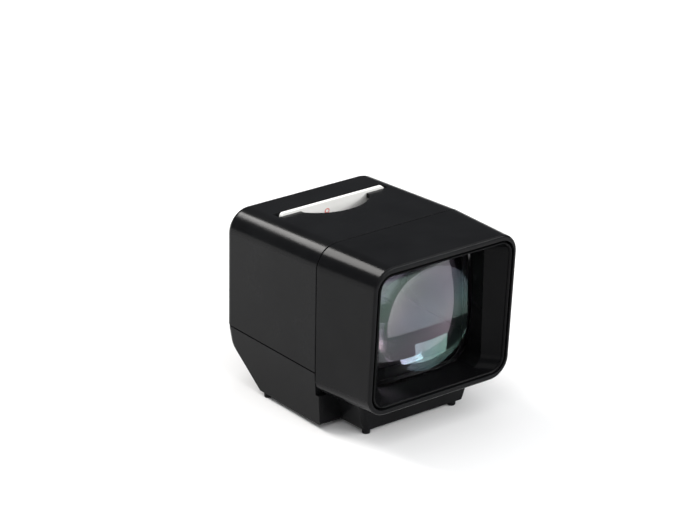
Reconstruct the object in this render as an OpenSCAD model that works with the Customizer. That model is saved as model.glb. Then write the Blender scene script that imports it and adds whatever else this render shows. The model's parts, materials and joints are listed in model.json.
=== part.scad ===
// Tabletop viewer for one mounted slide: a case with a square magnifier in its front hood, a slot in the top,
// a sprung carrier that closes the lamp switch when the slide is pressed, and a base with two cells.
// Millimetres. X across, -Y towards the eye, +Z up. The origin is on the table under the middle of the case.

/* [Case] */
// Outside width at the seam
case_w = 73; // [72.8:0.1:74]
// Outside depth from the top of the rim to the back
case_d = 90; // [89.6:0.1:91]
// Height of the rim's top edge over the table
rim_top = 75.4; // [75.2:0.1:75.8]
// Outside width of the rim
rim_w = 68.4; // [68:0.1:69]
// Outside height of the rim along its own plane
rim_h = 61.2; // [61:0.1:61.6]
// Corner radius of the rim
rim_r = 8.6; // [8:0.1:9]
// Forward lean of the rim's top in degrees
rim_lean = 3.1; // [2.5:0.1:3.5]
// Rounding of the rim's front edge
rim_edge = 1.1; // [0.8:0.1:1.3]
// Depth of the hood along the top
hood_d = 33; // [32.8:0.1:33.4]
// Height of the hood's underside at the seam
hood_low = 14.4; // [14.3:0.1:14.6]
// Top height at the seam
seam_top = 74.8; // [74.6:0.1:75]
// Top height at the back
back_top = 71.2; // [71:0.1:71.6]
// Fillet along the top side edges
top_r = 9.5; // [8.5:0.1:10.5]
// Rounding of the back edges
back_r = 3; // [2:0.5:4]
// Wall thickness
wall = 2; // [1.9:0.05:2.1]
// Depth of the visible bevel at each joint line
bevel = 0.15; // [0.1:0.05:0.4]
// Width of the dark line at each joint
seam_gap = 0.45; // [0.2:0.05:0.5]

/* [Lens] */
// Surface radius of both lens faces
lens_r = 82; // [80:0.5:90]
// Thickness at the middle
lens_t = 17; // [16.8:0.1:17.4]
// Width of the lens
lens_w = 51.2; // [50.8:0.1:51.3]
// Height of the lens
lens_h = 53.8; // [53.4:0.1:53.9]
// Corner radius of the lens
lens_corner = 6; // [5.5:0.1:6.5]
// Distance of the lens middle from the origin, forwards
lens_y = 25.1; // [24.9:0.1:25.3]
// Height of the optical axis
lens_z = 44.9; // [44.8:0.1:45]

/* [Slide] */
// Side of the square slide mount
slide_w = 50; // [49.8:0.1:50]
// Thickness of the slide mount
slide_t = 1.6; // [1.2:0.1:2]
// Picture width
film_w = 35; // [34:0.5:36]
// Picture height
film_h = 23.5; // [22:0.5:24]
// Press travel of the carrier
press = 2.5; // [1.5:0.1:2.6]
// Width of the slot
slot_w = 53; // [52:0.5:53.5]
// Length of the slot from front to back
slot_l = 4.2; // [4:0.1:4.3]
// Radius of the finger notch
notch_r = 19.4; // [19:0.1:19.8]
// Width of the finger notch
notch_w = 32; // [30:0.5:33]

/* [Base] */
// Top height of the base
base_top = 23.2; // [23.1:0.05:23.3]
// Width of the base at its underside
base_low_w = 70.4; // [70:0.1:71]
// Height of the feet
foot_h = 2; // [1.8:0.1:2.2]
// Radius of a foot
foot_r = 1.6; // [1.4:0.1:1.7]
// Half width of the battery door
door_hw = 28.4; // [28.2:0.1:28.5]

/* [Cells] */
// Diameter of a cell
cell_d = 14.2; // [13.5:0.1:14.5]
// Length of a cell with its button
cell_l = 50.2; // [49.5:0.1:50.5]

/* [Fits] */
// Gap between parts that move past each other
gap = 0.3; // [0.25:0.05:0.35]
// Gap between parts fixed together
fit = 0.05; // [0.03:0.01:0.08]

/* [Hidden] */

$fn = 48;
skin = 0.1;
big = 200;
black = [0.02, 0.02, 0.022];
white = [0.92, 0.92, 0.9];
steel = [0.7, 0.7, 0.68];

front_y = -case_d / 2;
back_y = case_d / 2;
seam_y = front_y + hood_d;
rim_y = front_y + rim_h / 2 * sin(rim_lean);
rim_z = rim_top - rim_h / 2 * cos(rim_lean);
low_r = 6;

// opening in the rim, and the bezel inside it
open_hw = rim_w / 2 - 1.45;
open_hh = rim_h / 2 - 2.25;
open_r = rim_r - 1.9;
groove = 0.85;
groove_depth = 2.6;
bezel_hw = 30.8;
bezel_hh = 26.85;
bezel_r = 5.3;
bezel_back = 0.3;
bezel_depth = 6;
view_hw = lens_w / 2 - 0.4;
view_hh = lens_h / 2 - 0.3;
view_r = 5.6;
view_y = -36;
edge_y = -29.8;
pocket_y = -19.4;

// slide and carrier
slide_y = 24.7;
slide_z = 23.4;
slot_y = 24.3;
notch_y = 33.3;
gate_front = 22.8;
gate_back = 28.5;
gate_low = 23.3;
gate_high = 69.6;
gate_hw = 28;
rod_x = 16;
rod_y = 26.2;
rod_r = 1.2;
tower_r = 3.2;
tower_top = 12;
bar_low = 20.85;
pad_low = 20.25;
rod_low = 8.9;
spring_r = 2.1;
spring_wire = 0.28;
well_low = 61;

// base
base_side = [[-13.6, 2.4], [24, 2.4], [40.1, 13.4], [42.1, 15.1], [43.2, 17.1], [44.2, 22], [44.4, 30], [-13.6, 30]];
base_in = [[23.3, 5.9], [25.5, 5.9], [38.3, 14.8], [40.4, 17], [41.8, 20], [42.3, 30], [23.3, 30]];
bar_r = 0.4;
tongue_y = -28.1;
foot_at = [[-22.4, -26.1], [19.6, -26.1], [-33.4, 21.3], [33.4, 21.3]];
door_front = -9.4;
door_back = 23.6;
door_top = 3.6;
tongue_z = 3;
ledge_z = 2.7;
divider_y = 21.9;
screw_at = [[-31, 26.2], [31, 26.2]];
screw_r = 1.4;
pilot_r = 1.15;
boss_r = 2.7;

// cells
cell_z = 11.6;
cell_y = [-1.7, 13.3];
end_x = 30.2;
wire_r = 0.55;

// back light
box_hw = 27.2;
box_front = 30;
box_back = 40.2;
box_low = 26;
box_high = 68.6;
lamp_x = 11;
lamp_z = 47.5;

// Top height of the case behind the seam.
function top_at(y) = seam_top + (back_top - seam_top) * (y - seam_y) / (back_y - seam_y);

// Half width of the base at height z.
function base_half(z) = base_low_w / 2 + (case_w - base_low_w) / 2 * (z - foot_h) / (base_top - foot_h);

// Four thin corner discs of one upright section, to be joined by a hull.
module section(y, z, lean, hw, hh, r_low, r_high) {
  translate([0, y, z])
    rotate([lean, 0, 0])
      for (side = [-1, 1]) {
        translate([side * (hw - r_low), 0, r_low - hh])
          rotate([90, 0, 0])
            cylinder(r = r_low, h = skin, center = true);
        translate([side * (hw - r_high), 0, hh - r_high])
          rotate([90, 0, 0])
            cylinder(r = r_high, h = skin, center = true);
      }
}

// A section parallel to the rim plane, d behind it.
module rim_section(d, hw, hh, r) {
  section(rim_y + d * cos(rim_lean), rim_z + d * sin(rim_lean), rim_lean, hw, hh, r, r);
}

// A section of the hood near the seam.
module seam_section(y, inset) {
  hh = (seam_top - hood_low) / 2 - inset;
  section(y, (seam_top + hood_low) / 2, 0, case_w / 2 - inset, hh, low_r - inset, top_r - inset);
}

// A prism along Y with rounded corners, between two heights.
module rounded_bar(hw, z_low, z_high, r, y_front, y_back) {
  depth = y_back - y_front;
  translate([-hw, y_front, z_low + r])
    cube([2 * hw, depth, z_high - z_low - 2 * r]);
  translate([r - hw, y_front, z_low])
    cube([2 * (hw - r), depth, z_high - z_low]);
  for (side = [-1, 1], z = [z_low + r, z_high - r])
    translate([side * (hw - r), y_back, z])
      rotate([90, 0, 0])
        cylinder(r = r, h = depth);
}

// The same prism in the frame of the rim plane.
module rim_bar(hw, hh, r, d_front, d_back) {
  translate([0, rim_y, rim_z])
    rotate([rim_lean, 0, 0])
      rounded_bar(hw, -hh, hh, r, d_front, d_back);
}

// A rod along X.
module rod_x_between(x0, x1, y, z, r) {
  translate([x0, y, z])
    rotate([0, 90, 0])
      cylinder(r = r, h = x1 - x0);
}

// A round wire through a list of points.
module wire(points, r) {
  for (i = [0 : len(points) - 2])
    hull()
      for (p = [points[i], points[i + 1]])
        translate(p)
          sphere(r = r, $fn = 12);
}

// A coil spring standing on z = 0. The flat section of the slanted wire is an arc that thins to its ends.
module coil(r, wire_r, turns, h) {
  pitch = (h - 2 * wire_r) / turns;
  steps = 4;
  reach = wire_r / pitch * 360;
  outer = [for (i = [-steps : steps]) arc_point(r, wire_r, reach, i / steps, 1)];
  inner = [for (i = [steps - 1 : -1 : 1 - steps]) arc_point(r, wire_r, reach, i / steps, -1)];
  translate([0, 0, wire_r])
    linear_extrude(height = h - 2 * wire_r, twist = -360 * turns, slices = 16 * turns, $fn = 16)
      polygon(concat(outer, inner));
}

function arc_point(r, wire_r, reach, t, side) =
  (r + side * wire_r * sqrt(max(0, 1 - t * t))) * [cos(t * reach), sin(t * reach)];

// Space inside the hood, shrunk by a gap.
module hood_inside(shrink) {
  hull() {
    rim_section(-1, open_hw - shrink, open_hh - shrink, open_r);
    seam_section(seam_y + 1, wall + shrink);
  }
}

module front_hood() {
  color(black)
    difference() {
      union() {
        hull() {
          seam_section(seam_y - seam_gap, bevel);
          seam_section(seam_y - seam_gap - bevel, 0);
          for (a = [0 : 15 : 90]) {
            cut = rim_edge * (1 - cos(a));
            rim_section(rim_edge * (1 - sin(a)), rim_w / 2 - cut, rim_h / 2 - cut, rim_r - cut);
          }
        }
        hood_lip();
      }
      difference() {
        hood_inside(0);
        hood_lip();
      }
    }
}

// Light-tight lip that laps inside the rear housing, its root grown into the hood's wall.
module hood_lip() {
  lip = 3;
  thin = 1;
  hw = case_w / 2 - wall - gap;
  high = seam_top - wall - gap - 0.2;
  r = top_r - wall;
  difference() {
    union() {
      rounded_bar(hw, base_top + 1, high, r, seam_y - 1, seam_y + lip);
      rounded_bar(hw + 1, base_top + 1, high + 1, r, seam_y - 2.5, seam_y - 0.2);
    }
    rounded_bar(hw - thin, base_top - 9, high - thin, r - thin, seam_y - 3, seam_y + lip + 1);
  }
}

module lens_funnel() {
  color(black)
    difference() {
      intersection() {
        hood_inside(fit);
        union() {
          rim_bar(rim_w / 2, rim_h / 2, rim_r, bezel_back, bezel_depth);
          rounded_bar(lens_w / 2 + 2, 0, big / 2, 1, view_y - 4, pocket_y);
        }
      }
      groove_ring();
      hull() {
        rim_section(bezel_back - 0.1, bezel_hw + 0.7, bezel_hh + 0.7, bezel_r + 0.7);
        rim_section(bezel_back + 0.8, bezel_hw, bezel_hh, bezel_r);
      }
      hull() {
        rim_section(bezel_back + 0.7, bezel_hw, bezel_hh, bezel_r);
        section(view_y, lens_z, 0, view_hw, view_hh, view_r, view_r);
      }
      rounded_bar(view_hw, lens_z - view_hh, lens_z + view_hh, view_r, view_y - 0.1, edge_y + 0.5);
      rounded_bar(lens_w / 2 + 0.15, lens_z - lens_h / 2 - 0.15, lens_z + lens_h / 2 + 0.15, lens_corner, edge_y, pocket_y + 1);
    }
}

// Cut that leaves the dark line between rim and bezel.
module groove_ring() {
  difference() {
    rim_bar(rim_w, rim_h, rim_r, -2, groove_depth);
    rim_bar(open_hw - groove, open_hh - groove, open_r - groove, -3, groove_depth + 1);
  }
}

module lens() {
  color([0.85, 0.92, 0.95, 0.35])
    intersection() {
      rounded_bar(lens_w / 2, lens_z - lens_h / 2, lens_z + lens_h / 2, lens_corner, -lens_y - lens_t, lens_t - lens_y);
      for_face(-1);
      for_face(1);
    }
}

// Ball whose surface is one lens face.
module for_face(side) {
  translate([0, side * (lens_r - lens_t / 2) - lens_y, lens_z])
    sphere(r = lens_r, $fn = 160);
}

module lens_retainer() {
  color(black)
    difference() {
      intersection() {
        hood_inside(fit);
        rounded_bar(case_w / 2, 0, big / 2, 1, pocket_y + fit, pocket_y + 1.8);
      }
      rounded_bar(view_hw - 1.6, lens_z - view_hh + 1.6, lens_z + view_hh - 1.6, view_r - 1, pocket_y - 1, pocket_y + 3);
      for_face(-1);
    }
}

// Solid of the rear housing, shrunk by an inset.
module rear_solid(inset, y_front) {
  low = 5;
  hull() {
    for (a = [0 : 30 : 90]) {
      cut = back_r * (1 - cos(a)) + inset;
      y = back_y - inset - back_r * (1 - sin(a));
      hh = (top_at(y) - low) / 2;
      section(y, low + hh, 0, case_w / 2 - cut, hh - cut, low_r - inset, top_r - cut);
    }
    hh = (top_at(y_front) - low) / 2;
    section(y_front + bevel, low + hh, 0, case_w / 2 - inset, hh - inset, low_r - inset, top_r - inset);
    section(y_front, low + hh, 0, case_w / 2 - inset - bevel, hh - inset - bevel, low_r - inset, top_r - inset - bevel);
  }
}

module rear_housing() {
  color(black)
    difference() {
      rear_solid(0, seam_y);
      difference() {
        rear_solid(wall, seam_y - 4);
        for (p = screw_at) {
          translate([p[0], p[1], 0])
            cylinder(r = boss_r, h = 42);
          translate([p[0] - (p[0] > 0 ? 0 : 5), p[1] - 0.8, 0])
            cube([5, 1.6, 42]);
        }
      }
      translate([-big / 2, -big / 2, -1])
        cube([big, big, base_top + 1 + seam_gap]);
      translate([-slot_w / 2, slot_y, 60])
        cube([slot_w, slot_l, 30]);
      intersection() {
        translate([0, notch_y, 60])
          cylinder(r = notch_r, h = 30, $fn = 96);
        translate([-notch_w / 2, 0, 60])
          cube([notch_w, slot_y + 1, 30]);
      }
      for (p = screw_at)
        translate([p[0], p[1], 0])
          cylinder(r = pilot_r, h = 38);
    }
}

// Crescent cup under the finger notch, open at the top and towards the slide.
module finger_well() {
  thin = 1.2;
  color(black)
    intersection() {
      difference() {
        translate([0, notch_y, well_low])
          cylinder(r = notch_r + thin + 0.5, h = 30, $fn = 96);
        translate([0, notch_y, well_low + thin])
          cylinder(r = notch_r + 0.3, h = 30, $fn = 96);
      }
      translate([-notch_w / 2 - thin, 0, well_low])
        cube([notch_w + 2 * thin, gate_front - fit, 30]);
      translate([-big / 2, seam_y, top_at(seam_y) - wall - fit])
        rotate([-atan((seam_top - back_top) / (back_y - seam_y)), 0, 0])
          translate([0, 0, -big])
            cube(big);
    }
}

module slide_gate() {
  color(black)
    difference() {
      translate([-gate_hw, gate_front, gate_low])
        cube([2 * gate_hw, gate_back - gate_front, gate_high - gate_low]);
      translate([-slide_w / 2 - 0.4, slide_y - 0.4, 0])
        cube([slide_w + 0.8, slide_t + 0.9, big]);
      rounded_bar(19.5, 33, well_low, 1.5, 0, slide_y);
      translate([-notch_w / 2 - 0.3, 0, well_low + 1.2])
        cube([notch_w + 0.6, slide_y, 30]);
      rounded_bar(21, 30, 64, 1.5, slide_y + 1, big);
      for (side = [-1, 1])
        translate([side * rod_x, rod_y, 0])
          cylinder(r = tower_r, h = gate_low + 0.4);
    }
}

module slide_carrier() {
  color([0.05, 0.05, 0.055])
    union() {
      translate([1 - slide_w / 2, slide_y + 0.1, bar_low])
        cube([slide_w - 2, slide_t, slide_z - gap - bar_low]);
      translate([-5, slide_y + 0.1, 17.5])
        cube([10, slide_t, 5]);
      for (side = [-1, 1])
        translate([side * rod_x, rod_y, 0]) {
          translate([0, 0, pad_low])
            cylinder(r = 2.7, h = 1);
          translate([0, 0, rod_low])
            cylinder(r = rod_r, h = pad_low - rod_low + 0.5);
        }
    }
}

module carrier_spring(side) {
  color(steel)
    translate([side * rod_x, rod_y, tower_top + 0.02])
      coil(spring_r, spring_wire, 5, pad_low - tower_top - 0.04);
}

module carrier_spring_left() {
  carrier_spring(-1);
}

module carrier_spring_right() {
  carrier_spring(1);
}

// Brass bar under the carrier that joins the two fixed contacts.
module switch_bridge() {
  color([0.8, 0.62, 0.3])
    translate([-4.6, slide_y + 0.2, 16.8])
      cube([9.2, slide_t - 0.2, 0.7]);
}

// Two bent strips standing on the floor of the rear bay.
module switch_contacts() {
  color([0.8, 0.62, 0.3])
    for (side = [-1, 1]) {
      translate([side * 3.4 - 1, slide_y, 13.4])
        cube([2, slide_t, 0.4]);
      translate([side * 3.4 - 1, slide_y + slide_t - 0.4, 6.6])
        cube([2, 0.4, 7.2]);
    }
}

module diffuser() {
  color([0.97, 0.97, 0.95])
    translate([-26, gate_back + fit, box_low])
      cube([52, 1.3, box_high - box_low]);
}

module light_box() {
  thin = 1.2;
  color(white)
    difference() {
      translate([-box_hw, box_front, box_low])
        cube([2 * box_hw, box_back - box_front, box_high - box_low]);
      translate([thin - box_hw, box_front - 1, box_low + thin])
        cube([2 * (box_hw - thin), box_back - box_front + 1 - thin, box_high - box_low - 2 * thin]);
      for (side = [-1, 1])
        translate([side * lamp_x, box_back + 1, lamp_z])
          rotate([90, 0, 0])
            cylinder(r = 2.9, h = 4);
    }
}

module led_board() {
  color([0.05, 0.3, 0.15])
    translate([-19, box_back + fit, 40])
      cube([38, 1.4, 16]);
}

module led_lamps() {
  color([0.95, 0.95, 0.8])
    for (side = [-1, 1])
      translate([side * lamp_x, box_back, lamp_z])
        rotate([90, 0, 0]) {
          cylinder(r = 2.8, h = 1.4);
          cylinder(r = 2.4, h = 5.5);
          translate([0, 0, 5.5])
            sphere(r = 2.4);
        }
}

module led_resistor() {
  y = box_back + 2.2;
  color([0.75, 0.65, 0.45]) {
    rod_x_between(-2.4, 2.4, y, 43, 0.6);
    rod_x_between(-4.4, 4.4, y, 43, 0.25);
    for (side = [-1, 1])
      translate([side * 4.2 - 0.25, box_back + 1.5, 42.75])
        cube([0.5, 0.7, 0.5]);
  }
}

module chamber_floor() {
  color(black)
    translate([-33, seam_y + 2.4, 21.2])
      cube([66, divider_y - seam_y - 2.7, 1.6]);
}

// One rounded edge of the base across its width.
module base_edge(p, inset) {
  translate([0, p[0], p[1]])
    rotate([0, 90, 0])
      cylinder(r = bar_r, h = 2 * (base_half(p[1]) - inset), center = true);
}

// Front tongue under the hood, at one height.
module tongue_level(z, hw, y) {
  r = 2;
  for (side = [-1, 1]) {
    translate([side * (hw - r), y + r, z])
      cylinder(r = r, h = skin);
    translate([side * (hw + 2.3 - r), -13.5, z])
      cylinder(r = 0.4, h = skin);
  }
}

// Outside of the tray, its back corners rounded like the rear housing's.
module tray_outside() {
  hull()
    for (p = base_side)
      for (a = p[0] > 30 ? [0 : 15 : 90] : [0])
        base_edge([p[0] - (p[0] > 30 ? back_r * (1 - sin(a)) : 0), p[1]], back_r * (1 - cos(a)));
}

module base_tray() {
  color(black)
    difference() {
      union() {
        difference() {
          union() {
            tray_outside();
            hull() {
              tongue_level(foot_h, 24.2, tongue_y);
              tongue_level(foot_h + 3.7, 25.5, tongue_y - 0.2);
              tongue_level(14, 27.2, tongue_y - 0.4);
            }
          }
          translate([-big / 2, -big / 2, base_top - fit])
            cube([big, big, big]);
          translate([-big / 2, seam_y - big, 14.1])
            cube([big, big, big]);
          translate([-33.4, seam_y + 2, ledge_z + 1.2])
            cube([66.8, divider_y - seam_y - 2, 30]);
          hull()
            for (p = base_in)
              base_edge(p, wall);
          translate([-20, tongue_y + 2.4, 4.2])
            cube([40, 11, 12]);
        }
        intersection() {
          tray_outside();
          base_fittings();
        }
      }
      translate([-door_hw - gap, door_front - gap, -1])
        cube([2 * (door_hw + gap), big, 1 + ledge_z]);
      translate([-door_hw - 1 - gap, door_front - gap, ledge_z])
        cube([2 * (door_hw + 1 + gap), big, 1.2]);
      for (side = [-1, 1])
        translate([side * rod_x, rod_y, 6.1])
          cylinder(r = rod_r + 0.08, h = 10);
      translate([22.6, divider_y - 1, 16])
        cube([8, 3, 10]);
      for (p = screw_at)
        translate([p[0], p[1], -1]) {
          cylinder(r = screw_r + 0.1, h = 30);
          cylinder(r = 2.7, h = 8.4);
        }
    }
}

// Towers, bosses and cell walls inside the base.
module base_fittings() {
  for (side = [-1, 1]) {
    translate([side * rod_x, rod_y, 4.6])
      cylinder(r = tower_r, h = tower_top - 4.6);
    translate([side * (end_x + 0.6) - 0.6, seam_y + 1.5, 3.9])
      cube([1.2, divider_y - seam_y - 1.4, 15.5]);
  }
  for (p = screw_at)
    translate([p[0], p[1], 4.4])
      cylinder(r = boss_r + 0.4, h = base_top - fit - 4.4);
  translate([-7, 24.2, 5])
    cube([14, 5, 1.5]);
}

module battery_door() {
  color([0.03, 0.03, 0.033])
    difference() {
      union() {
        translate([-door_hw, door_front, foot_h])
          cube([2 * door_hw, door_back - door_front, door_top - foot_h]);
        translate([-door_hw - 1, door_front, tongue_z])
          cube([2 * (door_hw + 1), door_back - door_front, door_top - tongue_z]);
      }
      for (i = [0 : 5])
        translate([-9, 10 + 1.8 * i, foot_h - 0.1])
          cube([18, 0.8, 0.6]);
    }
}

module feet() {
  color(black)
    for (p = foot_at)
      translate([p[0], p[1], 0])
        cylinder(r = foot_r, h = foot_h);
}

module case_screws() {
  color(steel)
    for (p = screw_at)
      translate([p[0], p[1], 0])
        difference() {
          union() {
            translate([0, 0, 5.6])
              cylinder(r = 2.4, h = 1.7);
            translate([0, 0, 7.2])
              cylinder(r = pilot_r - 0.03, h = 28);
          }
          for (turn = [0, 90])
            rotate([0, 0, turn])
              translate([-1.6, -0.35, 5])
                cube([3.2, 0.7, 1.4]);
        }
}

// One cell along X, its button towards side.
module cell(y, side) {
  body = cell_l - 2.4;
  color([0.12, 0.25, 0.2])
    rod_x_between(-body / 2 + (side > 0 ? -0.6 : 0.6), body / 2 + (side > 0 ? -0.6 : 0.6), y, cell_z, cell_d / 2);
}

module battery_front() {
  cell(cell_y[0], 1);
}

module battery_rear() {
  cell(cell_y[1], -1);
}

// Steel ends of both cells.
module battery_caps() {
  half = cell_l / 2;
  color(steel)
    for (i = [0, 1])
      mirror([i, 0, 0]) {
        rod_x_between(half - 1.8 + fit, half - 1.4, cell_y[i], cell_z, 6);
        rod_x_between(half - 1.5, half, cell_y[i], cell_z, 2.7);
        rod_x_between(0.3 - half, 0.6 - half - fit, cell_y[i], cell_z, 6);
      }
}

// Plate that a button cell end rests on, at the side wall.
module plate(y, w, side) {
  translate([side * (end_x - 0.45) - 0.2, y - w / 2, 5])
    cube([0.4, w, 13]);
}

// Cone-free coil that presses a cell's flat end.
module end_coil(y, side) {
  half = cell_l / 2;
  translate([side * (end_x - 0.45), y, cell_z])
    rotate([0, -90 * side, 0])
      coil(3.4, 0.35, 2, end_x - 0.5 - half);
}

module contact_link() {
  color(steel) {
    plate((cell_y[0] + cell_y[1]) / 2, 27, -1);
    end_coil(cell_y[0], -1);
    rod_x_between(0.6 - end_x, -cell_l / 2 - 0.06, cell_y[1], cell_z, 3);
  }
}

module contact_plus() {
  color(steel) {
    plate(cell_y[0], 12, 1);
    rod_x_between(cell_l / 2 + 0.06, end_x - 0.6, cell_y[0], cell_z, 3);
  }
}

module contact_minus() {
  color(steel) {
    plate(cell_y[1], 12, 1);
    end_coil(cell_y[1], 1);
  }
}

// From the plus plate back through the notch in the divider, under the light box and up to the lamp board.
module wire_red() {
  color([0.7, 0.05, 0.04])
    wire([[29.2, -4, 17.6], [28.8, -4, 20.2], [28.6, 20, 20.2], [26.9, 24, 20.4], [26.6, 29, 21],
      [25, 33, 22.8], [24.5, 38.2, 23.2], [24.3, 41.2, 25.6], [21.8, 41.7, 36], [17.5, 42.3, 43]], wire_r);
}

// From the minus plate through the same notch to the right-hand switch contact.
module wire_black() {
  color([0.03, 0.03, 0.03])
    wire([[29.2, 18.3, 16.5], [26.5, 21, 18], [24, 23.6, 18], [22.5, 27, 15],
      [20.5, 30.5, 12.2], [12, 31, 12], [6, 29.2, 10.5], [4.2, 27.35, 9]], wire_r);
}

// From the left-hand switch contact to the lamp board.
module wire_switch() {
  color([0.9, 0.9, 0.85])
    wire([[-4.2, 27.35, 9], [-6, 29.2, 10.5], [-12, 31, 12], [-20.5, 31.5, 14], [-25, 34, 18],
      [-24.8, 38, 21.6], [-24.3, 41.2, 25.4], [-21.8, 41.7, 36], [-17.5, 42.3, 43]], wire_r);
}

module slide_mount() {
  color(white)
    difference() {
      rounded_bar(slide_w / 2, slide_z, slide_z + slide_w, 1.5, slide_y, slide_y + slide_t);
      translate([-film_w / 2, slide_y - 1, slide_z + (slide_w - film_h) / 2])
        cube([film_w, 5, film_h]);
      translate([-film_w / 2 - 1, slide_y + slide_t / 2 - 0.1, slide_z + (slide_w - film_h) / 2 - 1])
        cube([film_w + 2, 0.2, film_h + 2]);
    }
}

module film_picture() {
  color([0.45, 0.25, 0.2, 0.7])
    translate([-film_w / 2 - 0.9, slide_y + slide_t / 2 - 0.07, slide_z + (slide_w - film_h) / 2 - 0.9])
      cube([film_w + 1.8, 0.14, film_h + 1.8]);
}

front_hood();
lens_funnel();
lens();
lens_retainer();
rear_housing();
finger_well();
slide_gate();
slide_carrier();
carrier_spring_left();
carrier_spring_right();
switch_bridge();
switch_contacts();
diffuser();
light_box();
led_board();
led_lamps();
led_resistor();
chamber_floor();
base_tray();
battery_door();
feet();
case_screws();
battery_front();
battery_rear();
battery_caps();
contact_link();
contact_plus();
contact_minus();
wire_red();
wire_black();
wire_switch();
slide_mount();
film_picture();
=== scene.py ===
"""Tabletop slide viewer: looks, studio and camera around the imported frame, in metres on its axes."""

import json
import math

import bmesh
import bpy
from mathutils import Matrix, Vector


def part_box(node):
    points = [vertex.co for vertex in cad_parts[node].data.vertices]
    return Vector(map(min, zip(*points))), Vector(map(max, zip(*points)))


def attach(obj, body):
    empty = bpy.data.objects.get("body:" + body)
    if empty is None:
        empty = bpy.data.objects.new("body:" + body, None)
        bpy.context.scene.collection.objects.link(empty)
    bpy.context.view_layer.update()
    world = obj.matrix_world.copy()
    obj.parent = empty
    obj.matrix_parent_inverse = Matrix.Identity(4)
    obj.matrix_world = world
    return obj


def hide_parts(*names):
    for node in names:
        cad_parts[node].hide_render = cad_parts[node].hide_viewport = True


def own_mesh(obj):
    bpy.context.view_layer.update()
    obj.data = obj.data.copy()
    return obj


MM = 0.001
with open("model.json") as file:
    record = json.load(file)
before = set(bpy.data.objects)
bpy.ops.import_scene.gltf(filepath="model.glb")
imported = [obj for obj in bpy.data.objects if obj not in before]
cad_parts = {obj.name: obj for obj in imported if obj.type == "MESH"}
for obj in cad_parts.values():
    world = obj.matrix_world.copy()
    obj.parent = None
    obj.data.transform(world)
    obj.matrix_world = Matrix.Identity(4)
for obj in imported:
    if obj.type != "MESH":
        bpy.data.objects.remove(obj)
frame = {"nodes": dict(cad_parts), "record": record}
nodes = frame["nodes"]
node_body = {n: body for body, names in frame["record"]["behaviour"]["bodies"].items() for n in names}
node_slot = {s["node"]: s["material_slot"] for s in frame["record"]["subparts"]}


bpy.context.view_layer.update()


# ---------------------------------------------------------------- materials

# The part of a noise factor's range that carries nearly all of its values.
MIDDLE = (0.3, 0.7)


def node_material(name):
    """An empty node material: its tree, its shader and the shader's socket setter."""
    mat = bpy.data.materials.new(name)
    mat.use_nodes = True
    tree = mat.node_tree
    shader = tree.nodes["Principled BSDF"]

    def put(**values):
        for key, value in values.items():
            socket = shader.inputs[key.replace("_", " ")]
            colour = isinstance(value, tuple) and len(value) == 3
            socket.default_value = (*value, 1.0) if colour else value

    return mat, tree, shader, put


def noise(tree, scale, detail, stretch=(1, 1, 1)):
    """Noise in object space, in cells per metre."""
    coords = tree.nodes.new("ShaderNodeTexCoord")
    mapping = tree.nodes.new("ShaderNodeMapping")
    mapping.inputs["Scale"].default_value = stretch
    tex = tree.nodes.new("ShaderNodeTexNoise")
    tex.inputs["Scale"].default_value = scale
    tex.inputs["Detail"].default_value = detail
    tex.inputs["Roughness"].default_value = 0.5
    tree.links.new(coords.outputs["Object"], mapping.inputs["Vector"])
    tree.links.new(mapping.outputs["Vector"], tex.inputs["Vector"])
    return tex.outputs["Fac"]


def spread(tree, source, low, high):
    """Maps the middle of a factor's range to a range of values."""
    node = tree.nodes.new("ShaderNodeMapRange")
    node.inputs["From Min"].default_value = MIDDLE[0]
    node.inputs["From Max"].default_value = MIDDLE[1]
    node.inputs["To Min"].default_value = low
    node.inputs["To Max"].default_value = high
    tree.links.new(source, node.inputs["Value"])
    return node.outputs["Result"]


def tint(tree, source, dark, light):
    """Mixes two colours by a factor."""
    ramp = tree.nodes.new("ShaderNodeValToRGB")
    for stop, at, colour in zip(ramp.color_ramp.elements, MIDDLE, (dark, light)):
        stop.position = at
        stop.color = (*colour, 1)
    tree.links.new(source, ramp.inputs["Fac"])
    return ramp.outputs["Color"]


def bump(tree, shader, height, strength, distance):
    """Adds a bump to a shader."""
    node = tree.nodes.new("ShaderNodeBump")
    node.inputs["Strength"].default_value = strength
    node.inputs["Distance"].default_value = distance
    tree.links.new(height, node.inputs["Height"])
    tree.links.new(node.outputs["Normal"], shader.inputs["Normal"])


def plastic(name, dark, light, rough, specular, grain, depth):
    """Moulded plastic: a colour that drifts a little, uneven gloss and a fine moulded skin."""
    mat, tree, shader, put = node_material(name)
    put(Specular_IOR_Level=specular)
    drift = noise(tree, 60, 4)
    tree.links.new(tint(tree, drift, dark, light), shader.inputs["Base Color"])
    gloss = spread(tree, noise(tree, 35, 5), rough * 0.85, rough * 1.2)
    tree.links.new(gloss, shader.inputs["Roughness"])
    bump(tree, shader, noise(tree, grain, 2), 0.35, depth)
    return mat


def metal(name, dark, light, rough, stretch):
    """Plated or plain metal with fine drawing marks."""
    mat, tree, shader, put = node_material(name)
    put(Metallic=1.0)
    marks = noise(tree, 900, 3, stretch=stretch)
    tree.links.new(tint(tree, marks, dark, light), shader.inputs["Base Color"])
    tree.links.new(spread(tree, marks, rough * 0.8, rough * 1.3), shader.inputs["Roughness"])
    return mat


def clear_acrylic():
    """The lens: clear, polished, with the faintest unevenness."""
    mat, tree, shader, put = node_material("clear_lens")
    put(Transmission_Weight=1.0, IOR=1.49, Base_Color=(0.96, 0.97, 0.99))
    put(Coat_Weight=0.5, Coat_IOR=1.45, Coat_Roughness=0.02)
    put(Thin_Film_Thickness=600.0, Thin_Film_IOR=1.57)
    tree.links.new(spread(tree, noise(tree, 40, 2), 0.0, 0.012), shader.inputs["Roughness"])
    return mat


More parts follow.
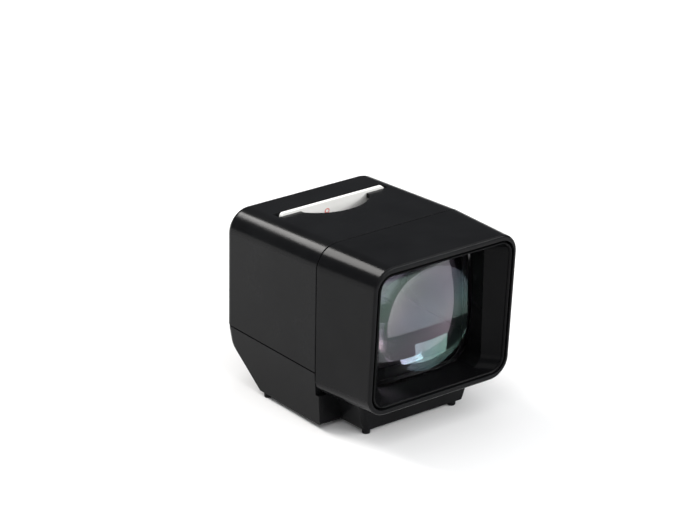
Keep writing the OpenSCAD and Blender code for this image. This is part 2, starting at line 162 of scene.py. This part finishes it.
def film_material():
    """A developed transparency: soft blurred patches of warm and cool tones."""
    mat, tree, shader, put = node_material("film")
    put(Roughness=0.15, Transmission_Weight=0.4)
    picture = noise(tree, 70, 3)
    tones = tint(tree, picture, (0.05, 0.07, 0.12), (0.45, 0.2, 0.12))
    tree.links.new(tones, shader.inputs["Base Color"])
    return mat


# dark colour, light colour, roughness, specular level, grain in cells per metre, skin depth in metres
PLASTICS = {
    "black_gloss": ((0.0052, 0.0053, 0.0058), (0.0075, 0.0077, 0.0083), 0.18, 0.08, 2600, 0.00002),
    "black_matte": ((0.006, 0.006, 0.0065), (0.009, 0.009, 0.0095), 0.34, 0.08, 2200, 0.00001),
    # black_well is a darker black than the hood's, painted shade for the inside of the viewing well; its
    # lower specular level is a plain shader setting
    "black_well": ((0.0028, 0.0029, 0.0032), (0.0042, 0.0043, 0.0047), 0.2, 0.05, 2600, 0.00001),
    "white_plastic": ((0.78, 0.775, 0.75), (0.85, 0.845, 0.82), 0.4, 0.4, 1800, 0.00002),
    "opal": ((0.86, 0.86, 0.84), (0.9, 0.9, 0.88), 0.3, 0.5, 900, 0.00001),
    "board_green": ((0.012, 0.1, 0.045), (0.02, 0.14, 0.06), 0.3, 0.5, 1500, 0.00003),
    "lamp_epoxy": ((0.8, 0.76, 0.55), (0.88, 0.85, 0.68), 0.12, 0.6, 700, 0.00001),
    "resistor_tan": ((0.42, 0.3, 0.16), (0.5, 0.37, 0.2), 0.3, 0.5, 1500, 0.00003),
    "cell_jacket": ((0.03, 0.11, 0.09), (0.045, 0.15, 0.12), 0.22, 0.5, 700, 0.00001),
    "wire_red": ((0.42, 0.012, 0.01), (0.55, 0.02, 0.015), 0.4, 0.4, 2500, 0.00002),
    "wire_black": ((0.012, 0.012, 0.012), (0.02, 0.02, 0.02), 0.4, 0.4, 2500, 0.00002),
    "wire_white": ((0.7, 0.7, 0.66), (0.8, 0.8, 0.76), 0.4, 0.4, 2500, 0.00002),
    "mark_red": ((0.62, 0.045, 0.03), (0.75, 0.07, 0.05), 0.5, 0.3, 3000, 0.00001),
}
# dark colour, light colour, roughness, stretch of the drawing marks
METALS = {
    "steel": ((0.5, 0.5, 0.49), (0.68, 0.68, 0.66), 0.28, (1, 1, 6)),
    "brass": ((0.6, 0.42, 0.17), (0.75, 0.55, 0.25), 0.3, (6, 1, 1)),
}
MATERIALS = {name: plastic(name, *look) for name, look in PLASTICS.items()}
MATERIALS.update({name: metal(name, *look) for name, look in METALS.items()})
MATERIALS["clear_lens"] = clear_acrylic()
MATERIALS["film"] = film_material()


def finish(piece, slot):
    """Gives a piece the material kept under a slot's name."""
    piece.data.materials.clear()
    piece.data.materials.append(MATERIALS[slot])


# ---------------------------------------------------------------- pieces

def piece_from(bm, name, body, slot):
    """A piece from a bmesh, riding on a body."""
    mesh = bpy.data.meshes.new(name)
    bm.to_mesh(mesh)
    bm.free()
    piece = bpy.data.objects.new(name, mesh)
    bpy.context.scene.collection.objects.link(piece)
    finish(piece, slot)
    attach(piece, body)
    return piece


def smooth(piece, angle):
    """Smooth shading with edges above an angle kept sharp."""
    mesh = piece.data
    for poly in mesh.polygons:
        poly.use_smooth = True
    mesh.set_sharp_from_angle(angle=math.radians(angle))


def refined(node, width):
    """The CAD node's own shape, welded, its flat faces joined and its edges softly broken."""
    bm = bmesh.new()
    bm.from_mesh(nodes[node].data)
    bmesh.ops.remove_doubles(bm, verts=bm.verts, dist=0.012 * MM)
    bmesh.ops.dissolve_degenerate(bm, edges=bm.edges, dist=0.004 * MM)
    bmesh.ops.dissolve_limit(bm, angle_limit=math.radians(0.4), verts=bm.verts, edges=bm.edges)
    bmesh.ops.recalc_face_normals(bm, faces=bm.faces)
    piece = piece_from(bm, node + "_shell", node_body[node], node_slot[node])
    smooth(piece, 35)
    edge = piece.modifiers.new("edges", "BEVEL")
    edge.width = width
    edge.segments = 3
    edge.limit_method = "ANGLE"
    edge.angle_limit = math.radians(32)
    edge.use_clamp_overlap = True
    normals = piece.modifiers.new("normals", "WEIGHTED_NORMAL")
    normals.keep_sharp = True
    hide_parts(node)


# How wide each of these nodes' edges are broken, in mm.
REFINED = {
    "rear_housing": 0.01, "base_tray": 0.15, "slide_mount": 0.25,
    "battery_door": 0.2, "finger_well": 0.1, "slide_gate": 0.2, "slide_carrier": 0.15, "feet": 0.3,
    "lens_retainer": 0.15, "light_box": 0.15,
}
for name, width in REFINED.items():
    refined(name, width * MM)


# ---------------------------------------------------------------- hood and funnel

# Sizes that the CAD also uses. OPEN, BEZEL and VIEW are half width, half height and corner radius.
RIM_LEAN = math.radians(3.1)
RIM_HALF = Vector((34.2, 0, 30.6)) * MM
RIM_R = 8.6 * MM
OPEN = (32.75 * MM, 28.35 * MM, 6.7 * MM)
BEZEL = (30.8 * MM, 26.85 * MM, 5.3 * MM)
VIEW = (25.2 * MM, 26.6 * MM, 5.6 * MM)
GROOVE = 0.85 * MM
SEAM_Y = -12 * MM
SEAM_GAP = 0.45 * MM
CORNER_STEPS = 14
ROUND_STEPS = 8

# The rim's middle, from its top edge.
RIM_Y = -45 * MM + RIM_HALF.z * math.sin(RIM_LEAN)
RIM_Z = 75.4 * MM - RIM_HALF.z * math.cos(RIM_LEAN)


def ring(at_y, at_z, lean, half, low_r, high_r):
    """Points around one rounded section, leaning about X."""
    hw, hh = half
    points = []
    for side, top, start in ((1, 1, 0), (-1, 1, 90), (-1, -1, 180), (1, -1, 270)):
        r = high_r if top > 0 else low_r
        for k in range(CORNER_STEPS + 1):
            a = math.radians(start + 90 * k / CORNER_STEPS)
            x = side * (hw - r) + r * math.cos(a)
            z = top * (hh - r) + r * math.sin(a)
            points.append(Vector((x, at_y - z * math.sin(lean), at_z + z * math.cos(lean))))
    return points


def rim_ring(depth, hw, hh, r):
    """A section parallel to the rim plane, a depth behind it."""
    y, z = RIM_Y + depth * math.cos(RIM_LEAN), RIM_Z + depth * math.sin(RIM_LEAN)
    return ring(y, z, RIM_LEAN, (hw, hh), r, r)


def loft(name, rings, node, width):
    """A closed tube of quads through rings, its sharp edges softly broken, standing for a CAD node."""
    bm = bmesh.new()
    rows = [[bm.verts.new(p) for p in row] for row in rings]
    count = len(rows[0])
    for row, after in zip(rows, rows[1:] + rows[:1]):
        for k in range(count):
            nxt = (k + 1) % count
            bm.faces.new((row[k], row[nxt], after[nxt], after[k]))
    bmesh.ops.recalc_face_normals(bm, faces=bm.faces)
    piece = piece_from(bm, name, node_body[node], node_slot[node])
    smooth(piece, 60)
    edge = piece.modifiers.new("edges", "BEVEL")
    edge.width = width
    edge.segments = 3
    edge.limit_method = "ANGLE"
    edge.angle_limit = math.radians(24)
    normals = piece.modifiers.new("normals", "WEIGHTED_NORMAL")
    normals.keep_sharp = True
    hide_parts(node)
    return piece


def build_hood():
    """Outside from the seam to the rounded rim, then back along the inside."""
    edge, bevel = 1.1 * MM, 0.15 * MM
    lip, lip_wall, lip_y = 2.3 * MM, 1 * MM, SEAM_Y + 3 * MM
    rim_depth = 3 * MM
    low, high = 14.4 * MM, 74.8 * MM
    mid, half_z, half_x = (low + high) / 2, (high - low) / 2, 36.5 * MM
    low_r, top_r = 6 * MM, 9.5 * MM

    def seam_ring(y, inset):
        return ring(y, mid, 0, (half_x - inset, half_z - inset), low_r - inset, top_r - inset)

    seam_y = SEAM_Y - SEAM_GAP
    rings = [seam_ring(seam_y, bevel), seam_ring(seam_y - bevel, 0)]
    for k in range(ROUND_STEPS + 1):
        a = math.radians(90 * k / ROUND_STEPS)
        cut = edge * (1 - math.cos(a))
        rings.append(rim_ring(edge * (1 - math.sin(a)), RIM_HALF.x - cut, RIM_HALF.z - cut, RIM_R - cut))
    rings += [rim_ring(0, *OPEN), rim_ring(rim_depth, *OPEN)]
    rings += [seam_ring(seam_y - 1 * MM, lip + lip_wall), seam_ring(lip_y, lip + lip_wall)]
    rings += [seam_ring(lip_y, lip), seam_ring(seam_y, lip)]
    loft("hood_shell", rings, "front_hood", 0.12 * MM)


def build_funnel():
    """The bezel's rounded lip, the tapered walls, the straight lens well and the outside behind them."""
    hw, hh, r = (v - GROOVE for v in OPEN)
    bw, bh, br = BEZEL
    vw, vh, vr = VIEW
    lip, land, entry = 0.45 * MM, 0.12 * MM, 0.8 * MM
    groove_depth, shelf = 2.6 * MM, 0.02 * MM
    view_y, edge_y, back_y, skirt_y = -36 * MM, -29.7 * MM, -19.4 * MM, -37 * MM
    lens_z = (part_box("lens")[0].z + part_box("lens")[1].z) / 2
    lip_steps, entry_steps = 4, 6

    def well_ring(y, half, corner):
        return ring(y, lens_z, 0, half, corner, corner)

    rings = [rim_ring(groove_depth, hw, hh, r)]
    for k in range(lip_steps + 1):
        a = math.radians(90 * k / lip_steps)
        cut = lip * (1 - math.cos(a))
        rings.append(rim_ring(land + lip * (1 - math.sin(a)), hw - cut, hh - cut, r - cut))
    for k in range(1, entry_steps + 1):
        a = math.radians(90 * k / entry_steps)
        cut = entry * (1 - math.sin(a))
        rings.append(rim_ring(land + entry * (1 - math.cos(a)), bw + cut, bh + cut, br + cut))
    pocket, pocket_r = (25.75 * MM, 27.05 * MM), 6 * MM
    outside, outside_r = (27.5 * MM, 27.7 * MM), 6.5 * MM
    rings += [well_ring(y, (vw, vh), vr) for y in (view_y, edge_y)]
    rings += [well_ring(y, pocket, pocket_r) for y in (edge_y + shelf, back_y)]
    rings += [well_ring(y, outside, outside_r) for y in (back_y, skirt_y)]
    flange_depth, flange = 5.9 * MM, 0.4 * MM
    rings.append(rim_ring(flange_depth, hw + flange, hh + 0.1 * MM, r))
    rings.append(rim_ring(groove_depth + shelf, hw + flange + shelf, hh + flange + shelf, r + flange))
    piece = loft("funnel_shell", rings, "lens_funnel", 0.1 * MM)
    # The funnel gets the darker black_well colour: painted shade for the recess around the lens.
    piece.data.materials[0] = MATERIALS["black_well"]


build_hood()
build_funnel()


# ---------------------------------------------------------------- lens

LENS_R = 82 * MM
LENS_T = 17 * MM
LENS_CORNER = 6 * MM
lens_low, lens_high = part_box("lens")
lens_mid = (lens_low + lens_high) / 2
lens_half = (lens_high - lens_low) / 2


def outline_reach(angle):
    """Distance from the lens axis to its rounded square outline, in one direction."""
    hw, hh, r = lens_half.x, lens_half.z, LENS_CORNER
    c, s = abs(math.cos(angle)), abs(math.sin(angle))
    side = min(hw / max(c, 1e-9), hh / max(s, 1e-9))
    x, z = side * c, side * s
    if x > hw - r and z > hh - r:
        cx, cz = hw - r, hh - r
        along = c * cx + s * cz
        side = along + math.sqrt(along * along - (cx * cx + cz * cz - r * r))
    return side


def sag(reach):
    """How far a lens face has dropped from its top at a distance from the axis."""
    return LENS_R - math.sqrt(LENS_R * LENS_R - reach * reach)


def build_lens():
    """Both faces as fine polar grids that share the rim's band."""
    spokes, rings, chip = 192, 40, 0.35 * MM
    bm = bmesh.new()
    faces_rows = []
    for side in (-1, 1):
        rows = [[bm.verts.new((lens_mid.x, lens_mid.y + side * LENS_T / 2, lens_mid.z))]]
        for step in range(1, rings + 1):
            row = []
            for k in range(spokes):
                a = 2 * math.pi * k / spokes
                d = (outline_reach(a) - chip) * step / rings
                y = lens_mid.y + side * (LENS_T / 2 - sag(d))
                row.append(bm.verts.new((lens_mid.x + d * math.cos(a), y, lens_mid.z + d * math.sin(a))))
            rows.append(row)
        edge = []
        for k in range(spokes):
            a = 2 * math.pi * k / spokes
            d = outline_reach(a) - 0.02 * MM
            y = lens_mid.y + side * max(0.25 * MM, LENS_T / 2 - sag(d) - chip * 0.7)
            edge.append(bm.verts.new((lens_mid.x + d * math.cos(a), y, lens_mid.z + d * math.sin(a))))
        rows.append(edge)
        faces_rows.append(rows)
        for k in range(spokes):
            nxt = (k + 1) % spokes
            bm.faces.new((rows[0][0], rows[1][k], rows[1][nxt]))
            for inner, outer in zip(rows[1:], rows[2:]):
                bm.faces.new((inner[k], outer[k], outer[nxt], inner[nxt]))
    front, back = faces_rows[0][-1], faces_rows[1][-1]
    for k in range(spokes):
        nxt = (k + 1) % spokes
        bm.faces.new((front[k], back[k], back[nxt], front[nxt]))
    bmesh.ops.recalc_face_normals(bm, faces=bm.faces)
    piece = piece_from(bm, "lens_clear", node_body["lens"], "clear_lens")
    smooth(piece, 28)
    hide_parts("lens")


build_lens()


# ---------------------------------------------------------------- carrier springs


def build_spring(node):
    """The CAD coil as its own piece, with a mesh of its own."""
    bm = bmesh.new()
    bm.from_mesh(nodes[node].data)
    bmesh.ops.remove_doubles(bm, verts=bm.verts, dist=0.004 * MM)
    piece = piece_from(bm, node + "_coil", node_body[node], node_slot[node])
    smooth(piece, 60)
    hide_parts(node)
    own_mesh(piece)


build_spring("carrier_spring_left")
build_spring("carrier_spring_right")


# ---------------------------------------------------------------- slide mount details

def ring_mark():
    """A small printed ring near the top of the mount's front face."""
    low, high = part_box("slide_mount")
    at = Vector((-3.0 * MM, low.y - 0.02 * MM, high.z - 3.9 * MM))
    bm = bmesh.new()
    steps = 48
    loops = [[], []]
    for k in range(steps):
        a = 2 * math.pi * k / steps
        for loop, r in zip(loops, (0.8 * MM, 1.15 * MM)):
            loop.append(bm.verts.new(at + Vector((r * math.cos(a), 0, 0.85 * r * math.sin(a)))))
    for k in range(steps):
        nxt = (k + 1) % steps
        bm.faces.new((loops[0][k], loops[1][k], loops[1][nxt], loops[0][nxt]))
    piece_from(bm, "mount_ring_mark", node_body["slide_mount"], "mark_red")


ring_mark()

REBUILT = {"lens", "front_hood", "lens_funnel", "carrier_spring_left", "carrier_spring_right"}
for name, obj in nodes.items():
    if name not in REBUILT and name not in REFINED:
        obj.data.materials.clear()
        obj.data.materials.append(MATERIALS[node_slot[name]])


# ---------------------------------------------------------------- studio

def area(name, at, aim, size, power, colour=(1, 1, 1)):
    """A soft rectangular light aimed at a point."""
    light = bpy.data.lights.new(name, "AREA")
    light.shape = "RECTANGLE"
    light.size, light.size_y = size
    light.energy = power
    light.color = colour
    obj = bpy.data.objects.new(name, light)
    obj.location = at
    obj.rotation_euler = (Vector(aim) - Vector(at)).to_track_quat("-Z", "Y").to_euler()
    bpy.context.scene.collection.objects.link(obj)


def studio():
    """A pale floor, a dim surround and soft lights."""
    bpy.ops.mesh.primitive_plane_add(size=8.0)
    floor = bpy.context.object
    floor.name = "floor"
    mat, tree, shader, put = node_material("floor_white")
    put(Roughness=0.7, Specular_IOR_Level=0.1)
    pale = tint(tree, noise(tree, 2, 2), (0.84, 0.84, 0.84), (0.86, 0.86, 0.86))
    tree.links.new(pale, shader.inputs["Base Color"])
    floor.data.materials.append(mat)
    world = bpy.data.worlds.new("surround")
    world.use_nodes = True
    back = world.node_tree.nodes["Background"]
    back.inputs["Color"].default_value = (0.9, 0.94, 1.0, 1)
    back.inputs["Strength"].default_value = 0.12
    bpy.context.scene.world = world
    area("overhead", (-0.1, -0.5, 1.5), (-0.1, -0.5, 0), (3.0, 2.8), 34)
    area("back_left", (-0.30, 0.95, 0.92), (0, 0, 0.07), (0.6, 0.42), 16, (1.0, 0.98, 0.96))
    area("edge_key", (0.74, -0.87, 0.69), (0, 0, 0.07), (0.7, 0.2), 7)
    area("front_fill", (0.3, -1.7, 0.9), (0, 0, 0.045), (1.4, 0.9), 18)
    area("front_left", (-1.1, -0.6, 0.7), (0, 0, 0.045), (0.5, 0.6), 2)


studio()


# ---------------------------------------------------------------- camera

CAMERA_AT = Vector((-0.69728, -0.86688, 0.52878))
YAW, PITCH, ROLL = (math.radians(v) for v in (38.175, -23.01, 0.876))
FOCAL_MM = 167.3


def camera():
    """The camera at the viewing angle of the original view."""
    ahead = Vector((math.sin(YAW) * math.cos(PITCH), math.cos(YAW) * math.cos(PITCH), math.sin(PITCH)))
    level = Vector((math.cos(YAW), -math.sin(YAW), 0))
    above = level.cross(ahead)
    right = level * math.cos(ROLL) + above * math.sin(ROLL)
    up = above * math.cos(ROLL) - level * math.sin(ROLL)
    data = bpy.data.cameras.new("camera")
    data.sensor_width = 36.0
    data.lens = FOCAL_MM
    data.clip_start = 0.01
    obj = bpy.data.objects.new("camera", data)
    turn = Matrix((right, up, -ahead)).transposed().to_4x4()
    obj.matrix_world = Matrix.Translation(CAMERA_AT) @ turn
    bpy.context.scene.collection.objects.link(obj)
    bpy.context.scene.camera = obj


camera()
bpy.context.scene.view_settings.view_transform = "Standard"
